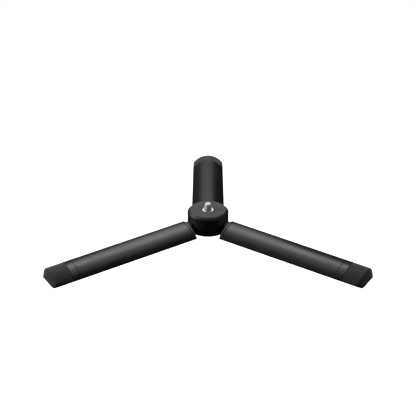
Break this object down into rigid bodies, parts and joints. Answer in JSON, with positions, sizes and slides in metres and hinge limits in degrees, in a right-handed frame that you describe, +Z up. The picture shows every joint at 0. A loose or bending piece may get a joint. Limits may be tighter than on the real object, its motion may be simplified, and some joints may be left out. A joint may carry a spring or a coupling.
{
  "type": "tabletop tripod",
  "caption": "Small folding tripod that doubles as a hand grip: a round hub with a threaded camera stud on a padded seat, and hinged legs of arched section with rubber feet.",
  "frame": {"origin": "centre of the hub's flat underside, on the hub's axis", "axes": "+Z up along the camera stud; +Y towards the tip of the rear leg; X across both front legs, the longest direction"},
  "size_m": [0.2762, 0.2404, 0.0353],
  "materials": {
    "hub_black": "satin black moulded nylon",
    "shell_black": "satin black anodised",
    "block_black": "fine moulded texture",
    "inner_black": "fine moulded texture",
    "foot_rubber": "matt moulded rubber",
    "pad_grey": "matt rubber pad",
    "nickel": "bright nickel plate",
    "steel": "plain machined",
    "washer_white": "natural acetal"
  },
  "bodies": {
    "hub": {"hub_body": "hub_black", "base_cover": "inner_black", "top_pad": "pad_grey", "camera_stud": "nickel", "stud_flange": "nickel", "stud_nut": "steel", "stud_lock_washer": "steel", "cover_screw_1": "steel", "cover_screw_2": "steel", "cover_screw_3": "steel", "left_hinge_pin": "steel", "left_friction_washer_outer": "washer_white", "left_friction_washer_inner": "washer_white", "rear_hinge_pin": "steel", "rear_friction_washer_outer": "washer_white", "rear_friction_washer_inner": "washer_white", "right_hinge_pin": "steel", "right_friction_washer_outer": "washer_white", "right_friction_washer_inner": "washer_white"},
    "left_leg": {"left_hinge_block": "block_black", "left_leg_shell": "shell_black", "left_leg_liner": "inner_black", "left_leg_band": "shell_black", "left_foot_plug": "inner_black", "left_rubber_foot": "foot_rubber", "left_block_screw": "steel", "left_plug_screw": "steel"},
    "rear_leg": {"rear_hinge_block": "block_black", "rear_leg_shell": "shell_black", "rear_leg_liner": "inner_black", "rear_leg_band": "shell_black", "rear_foot_plug": "inner_black", "rear_rubber_foot": "foot_rubber", "rear_block_screw": "steel", "rear_plug_screw": "steel"},
    "right_leg": {"right_hinge_block": "block_black", "right_leg_shell": "shell_black", "right_leg_liner": "inner_black", "right_leg_band": "shell_black", "right_foot_plug": "inner_black", "right_rubber_foot": "foot_rubber", "right_block_screw": "steel", "right_plug_screw": "steel"}
  },
  "joints": [
    {"name": "left_leg_fold", "type": "hinge", "parent": "hub", "child": "left_leg", "pos_m": [-0.01152, -0.00665, 0.00585], "axis": [0.5, -0.866, 0], "range_deg": [0, 85.9]},
    {"name": "rear_leg_fold", "type": "hinge", "parent": "hub", "child": "rear_leg", "pos_m": [0, 0.0133, 0.00585], "axis": [-1, 0, 0], "range_deg": [0, 85.9]},
    {"name": "right_leg_fold", "type": "hinge", "parent": "hub", "child": "right_leg", "pos_m": [0.01152, -0.00665, 0.00585], "axis": [0.5, 0.866, 0], "range_deg": [0, 85.9]}
  ]
}
